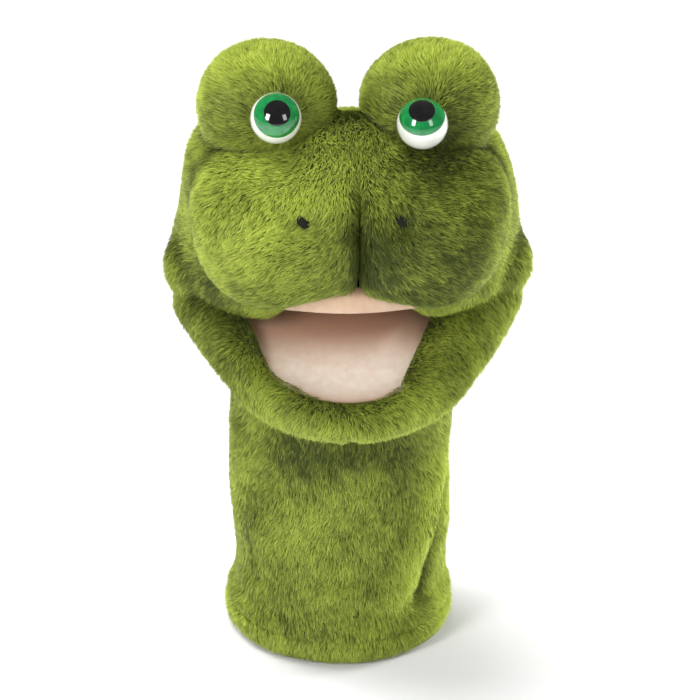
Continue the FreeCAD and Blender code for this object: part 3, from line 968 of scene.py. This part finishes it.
def make_lining(name, body, out_way, up_way, radius, leg, height, facing, material, rings=22, rays=61):
    """A pale cloth over the palate or the tongue, darker at its edge."""
    across, out, up, gap = plate(radius, leg, height, rings, rays)
    quads = grid_of(rings, rays)
    points = from_hinge(across, out, up, out_way, up_way)
    item = new_object(name + "_cloth", points, quads if facing < 0 else quads[:, ::-1], material)
    edge = item.data.attributes.new("edge", "FLOAT", "POINT")
    edge.data.foreach_set("value", 0.75 * np.exp(-gap / 4).astype(np.float32))
    solid = item.modifiers.new("cloth", "SOLIDIFY")
    solid.thickness = 0.0012
    solid.offset = -1
    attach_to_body(item, body)
    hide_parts(name)


make_lining("upper_mouth_lining", "head", PALATE_OUT, PALATE_UP, PALATE_RADIUS, PALATE_LEG,
            upper_height, -1, PALATE_LINING)
make_lining("lower_mouth_lining", "lower_jaw", JAW_OUT, JAW_UP, TONGUE_RADIUS, TONGUE_LEG,
            lower_height, 1, TONGUE_LINING)


# ---- Filling, and the other pieces inside ----

def make_filling(name, body, field, low, high):
    """Loose fibre that fills a lobe up to the inside of its skin."""
    points, quads = surface(field, low, high, FILLING_STEP)
    lumps = drift(points, seed=21, size=14) + 0.6 * drift(points, seed=22, size=6)
    points = points - outward(field, points) * (0.5 + 0.35 * lumps)[:, None]
    item = new_object(name + "_fibre", points, quads, FILLING)
    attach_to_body(item, body)
    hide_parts(name)


def muzzle_filling(points):
    """Inside the muzzle's skin, in front of its back edge and over the fingers."""
    room = np.maximum(points[:, 1] + 32, 12 - along(points, HINGE, PALATE_UP))
    return np.maximum(muzzle(points) + SKIN + 1, room)


def mound_filling(points):
    """Inside the mounds' skin, clear of the head, the muzzle and the eyes."""
    others = join(hood(points), muzzle(points), 3)
    eye = np.linalg.norm(one_side(points) - EYE, axis=1) - EYE_RADIUS
    return np.maximum(mounds(one_side(points)) + SKIN + 1, -np.minimum(others, eye) + 1)


def jaw_filling(points):
    """Inside the lip roll's skin, in front of the hinge."""
    return np.maximum(lip(points) + SKIN + 1, -1.5 - along(points, HINGE, JAW_OUT))


def half_of(field, sign):
    """The part of a field on one side of the middle seam."""
    return lambda points: np.maximum(field(points), 1.0 - sign * points[:, 0])


# Each lobe's body and field, and the corners of the space that it is looked for in.
LOBES = {"muzzle": ("head", muzzle_filling, (-90, -110, 190), (90, -20, 300)),
         "eye_mound": ("head", mound_filling, (-90, -70, 250), (90, 30, 340)),
         "lower_jaw": ("lower_jaw", jaw_filling, (-90, -110, 120), (90, 0, 210))}


def make_fillings():
    for side, sign in SIDES.items():
        for lobe, (body, field, low, high) in LOBES.items():
            make_filling(f"{lobe}_stuffing_{side}", body, half_of(field, sign), low, high)


make_fillings()


def flat_pocket(name, body, out_way, up_way, side, across_half, length, rise):
    """An empty cloth pocket lying flat, a little crowned, open at the back."""
    columns, rows = 33, 25
    u, v = (g.ravel() for g in np.meshgrid(np.linspace(-1, 1, columns), np.linspace(0, 1, rows)))
    crown = (1 - u ** 4) * (1 - v ** 5)
    layers = []
    for lift in (0.0, 1.0):
        up = side * (POCKET_GAP + lift * rise * crown + 0.25 * np.sin(u * 9 + v * 5) * lift)
        layers.append(from_hinge(u * across_half, POCKET_START + v * length, up, out_way, up_way))
    index = np.arange(rows * columns).reshape(rows, columns)
    sheet = grid_of(rows, columns)
    count = rows * columns
    border = [index[:, 0], index[-1, :], index[::-1, -1]]
    walls = [np.column_stack((line[:-1], line[1:], line[1:] + count, line[:-1] + count)) for line in border]
    quads = np.vstack([sheet[:, ::-1], sheet + count, *walls])
    item = new_object(name + "_cloth", np.vstack(layers), quads, POCKET)
    solid = item.modifiers.new("cloth", "SOLIDIFY")
    solid.thickness = 0.0008
    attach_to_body(item, body)
    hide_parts(name)


def repaint(material, *nodes):
    """Gives CAD nodes whose shape stays a material of their own."""
    for node in nodes:
        mesh = frame["nodes"][node].data
        mesh.materials.clear()
        mesh.materials.append(material)


POCKET_START = 5
POCKET_GAP = 4.0
POCKET = cloth_material("pocket_weave", (0.62, 0.62, 0.58), (0.74, 0.74, 0.70), 1200, 0.85)
BOARD = cloth_material("stiffener_grain", (0.56, 0.50, 0.40), (0.68, 0.62, 0.52), 700, 0.9, 0.1)
WASHER = cloth_material("washer_moulding", (0.66, 0.66, 0.63), (0.72, 0.72, 0.70), 900, 0.4, 0.05)
flat_pocket("finger_pocket", "head", PALATE_OUT, PALATE_UP, 1, across_half=38, length=46, rise=9)
flat_pocket("thumb_pocket", "lower_jaw", JAW_OUT, JAW_UP, -1, across_half=20, length=43, rise=8)
repaint(BOARD, "upper_mouth_board", "lower_mouth_board")
repaint(WASHER, "eye_washer_left", "eye_washer_right")
repaint(BACKING, "sleeve_hem")


# ---- Nostrils ----

THREAD = cloth_material("dark_twist", (0.003, 0.004, 0.002), (0.010, 0.014, 0.005), 3000, 0.95, 0.6)
THREAD.node_tree.nodes["Principled BSDF"].inputs["Sheen Weight"].default_value = 0
STITCHES = 5
STITCH_STEP = 0.7
STITCH_HALF = 4.5
STITCH_LIFT = 2.2
STITCH_RADIUS = 0.6


def thread_run(start, stop, lift, radius, rings=14, rays=10):
    """One satin stitch: a thread arched over the cloth between two points."""
    share = np.linspace(0, 1, rings)[:, None]
    way = (stop - start) / np.linalg.norm(stop - start)
    out = np.array((0, -1, 0.3))
    out = out - way * (out @ way)
    out = out / np.linalg.norm(out)
    line = start + (stop - start) * share + out * lift * np.sin(math.pi * share)
    turn = np.linspace(0, 2 * math.pi, rays, endpoint=False)
    ring = np.cos(turn)[:, None] * out + np.sin(turn)[:, None] * np.cross(way, out)
    size = radius * np.sqrt(np.clip(1 - (2 * share - 1) ** 8, 0.05, 1))
    points = (line[:, None] + ring[None] * size[:, :, None]).reshape(-1, 3)
    return points, loops_of(rings, rays)


def make_nostril(side, sign):
    """A short slanted bundle of satin stitches pulled down into the pile."""
    slant = np.array((STITCH_WAY[side][0], 0, STITCH_WAY[side][1]))
    step = np.array((-slant[2], 0, slant[0]))
    points, quads = [], []
    for number in range(STITCHES):
        aside = number - STITCHES // 2
        place = NOSTRIL * (sign, 1, 1) + step * aside * STITCH_STEP
        ends = place + np.outer((-1, 1), slant) * (STITCH_HALF - 0.5 * abs(aside))
        for _ in range(6):
            ends[:, 1] -= muzzle(ends) / gradient(muzzle, ends)[:, 1]
        run, faces = thread_run(ends[0], ends[1], STITCH_LIFT, STITCH_RADIUS)
        quads.append(faces + sum(len(p) for p in points))
        points.append(run)
    item = new_object("nostril_stitch_" + side + "_threads", np.vstack(points), np.vstack(quads), THREAD)
    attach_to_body(item, "head")
    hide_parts("nostril_stitch_" + side)


for side, sign in SIDES.items():
    make_nostril(side, sign)


# ---- Eyes ----

def gloss_material(name, low, high, scale):
    """Glossy moulded plastic with a faint cloud in its colour."""
    material, _, _, shader = new_material(name)
    clouded(material, scale, 2, [(0.35, low), (0.65, high)])
    set_inputs(shader, {"Roughness": 0.08, "Coat Weight": 1.0, "Coat Roughness": 0.01})
    return material


EYE_WHITE = gloss_material("eye_white_gloss", (0.80, 0.82, 0.76), (0.88, 0.89, 0.84), 60)
EYE_GREEN = gloss_material("eye_green_gloss", (0.002, 0.17, 0.035), (0.004, 0.26, 0.06), 300)
EYE_BLACK = gloss_material("eye_black_gloss", (0.002, 0.002, 0.002), (0.006, 0.006, 0.006), 200)
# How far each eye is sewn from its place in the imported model, and its elevation and bearing in degrees.
EYE_SET = {"left": (0.9, 0, 1.2), "right": (-2.2, -1.0, -2.4)}
EYE_WAY = {"left": (38, 3), "right": (60, -5)}
# Name, material, radius over the ball's, reach in degrees and slot of each layer.
EYE_LAYERS = (("eyeball_", EYE_WHITE, 1.0, 172, "eye_white"), ("iris_", EYE_GREEN, 1.014, 63, "eye_green"),
              ("pupil_", EYE_BLACK, 1.026, 31, "eye_black"))


def dome(radius, reach, rings=40, rays=64):
    """Part of a ball about its pole, out to an angle of reach degrees, with its edge turned in."""
    tilt = np.radians(np.linspace(1.0, reach, rings))
    turn = np.linspace(0, 2 * math.pi, rays, endpoint=False)
    size = np.where(np.arange(rings) < rings - 1, radius, EYE_RADIUS * 0.98)
    wide, high = np.sin(tilt) * size, np.cos(tilt) * size
    x, y, z = np.outer(wide, np.cos(turn)), np.outer(wide, np.sin(turn)), np.outer(high, np.ones(rays))
    points = np.stack((x, y, z), axis=2).reshape(-1, 3)
    first = np.arange(rays)
    pole = np.full(rays // 2, len(points))
    cap = np.column_stack((pole, first[0::2], first[1::2], np.roll(first, -2)[0::2]))
    return np.vstack((points, (0, 0, radius))), np.vstack((loops_of(rings, rays), cap))


def aimed(points, centre, up, turn):
    """Points about +Z turned to face a way given by its elevation and its bearing to one side."""
    e, a = math.radians(up), math.radians(turn)
    forward = np.array((math.sin(a) * math.cos(e), -math.cos(a) * math.cos(e), math.sin(e)))
    right = np.array((math.cos(a), math.sin(a), 0))
    top = np.cross(forward, right)
    return np.array(centre) + points @ np.vstack((right, -top, forward))


def make_eye(side, sign):
    """A ball with its iris and pupil as thin domes over it."""
    centre = EYE * (sign, 1, 1) + EYE_SET[side]
    up, turn = EYE_WAY[side]
    for word, material, scale, reach, slot in EYE_LAYERS:
        points, quads = dome(EYE_RADIUS * scale, reach)
        item = new_object(word + side + "_dome", aimed(points, centre, up, turn), quads, material)
        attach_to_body(item, "head")
        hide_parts(word + side)


for side, sign in SIDES.items():
    make_eye(side, sign)


# ---- Stage, lights and camera ----

# In metres, degrees and watts. The view is as wide as VIEW_WIDTH at the puppet.
FLOOR_HALF = 12.0
LIT_PLACE = (0, 0, 0.18)
LIGHTS = (("left_softbox", (-0.85, -0.95, 0.85), (0.40, 0.6), 11.5, True),
          ("right_softbox", (0.85, -1.05, 0.85), (0.40, 0.6), 3.8, True),
          ("left_rim", (-0.9, 0.7, 0.5), (0.4, 0.9), 4.2, False),
          ("right_rim", (0.95, 0.30, 0.40), (0.4, 0.9), 10.0, False))
VIEW_ELEVATION = 27
VIEW_AZIMUTH = -1.75
VIEW_DISTANCE = 4.0
VIEW_WIDTH = 0.35533
VIEW_RISE = 0.133
VIEW_SHIFT = 0.0015


def make_floor():
    material, _, _, shader = new_material("pale_floor")
    set_inputs(shader, {"Base Color": (0.93, 0.93, 0.93, 1), "Roughness": 0.9})
    mesh = bpy.data.meshes.new("floor")
    corners = [(x * FLOOR_HALF, y * FLOOR_HALF, 0) for x, y in ((-1, -1), (1, -1), (1, 1), (-1, 1))]
    mesh.from_pydata(corners, [], [(0, 1, 2, 3)])
    mesh.materials.append(material)
    item = placed("floor", mesh)


def make_light(name, place, size, power, glossy):
    """A rectangular light aimed at the puppet."""
    data = bpy.data.lights.new(name, "AREA")
    data.shape = "RECTANGLE"
    data.size, data.size_y = size
    data.energy = power
    item = placed(name, data)
    item.location = place
    item.rotation_euler = (Vector(LIT_PLACE) - Vector(place)).to_track_quat("-Z", "Y").to_euler()
    item.visible_camera = False
    item.visible_glossy = glossy


def make_overhead():
    """A broad even light from above, which doesn't show in the eyes."""
    data = bpy.data.lights.new("overhead", "SUN")
    data.energy = 2.9
    data.angle = math.radians(42)
    item = placed("overhead", data)
    item.rotation_euler = (math.radians(-12), math.radians(-14), 0)
    item.visible_glossy = False


def make_studio():
    for name, place, size, power, glossy in LIGHTS:
        make_light(name, place, size, power, glossy)
    make_overhead()
    world = bpy.data.worlds.new("studio")
    bpy.context.scene.world = world
    world.use_nodes = True
    set_inputs(world.node_tree.nodes["Background"], {"Color": (1, 1, 1, 1), "Strength": 0.17})
    bpy.context.scene.view_settings.view_transform = "Standard"


def make_camera():
    """A long lens, above the horizon and a little to one side."""
    elevation, azimuth = math.radians(VIEW_ELEVATION), math.radians(VIEW_AZIMUTH)
    back = Vector((math.sin(azimuth) * math.cos(elevation), -math.cos(azimuth) * math.cos(elevation),
                   math.sin(elevation)))
    right = Vector((math.cos(azimuth), math.sin(azimuth), 0))
    above = back.cross(right)
    target = above * VIEW_RISE + right * VIEW_SHIFT
    data = bpy.data.cameras.new("camera")
    data.sensor_width = 36
    data.lens = data.sensor_width * VIEW_DISTANCE / VIEW_WIDTH
    data.clip_end = 50
    item = placed("camera", data)
    item.location = target + back * VIEW_DISTANCE
    item.rotation_mode = "QUATERNION"
    item.rotation_quaternion = (-back).to_track_quat("-Z", "Y")
    bpy.context.scene.camera = item


make_floor()
make_studio()
make_camera()
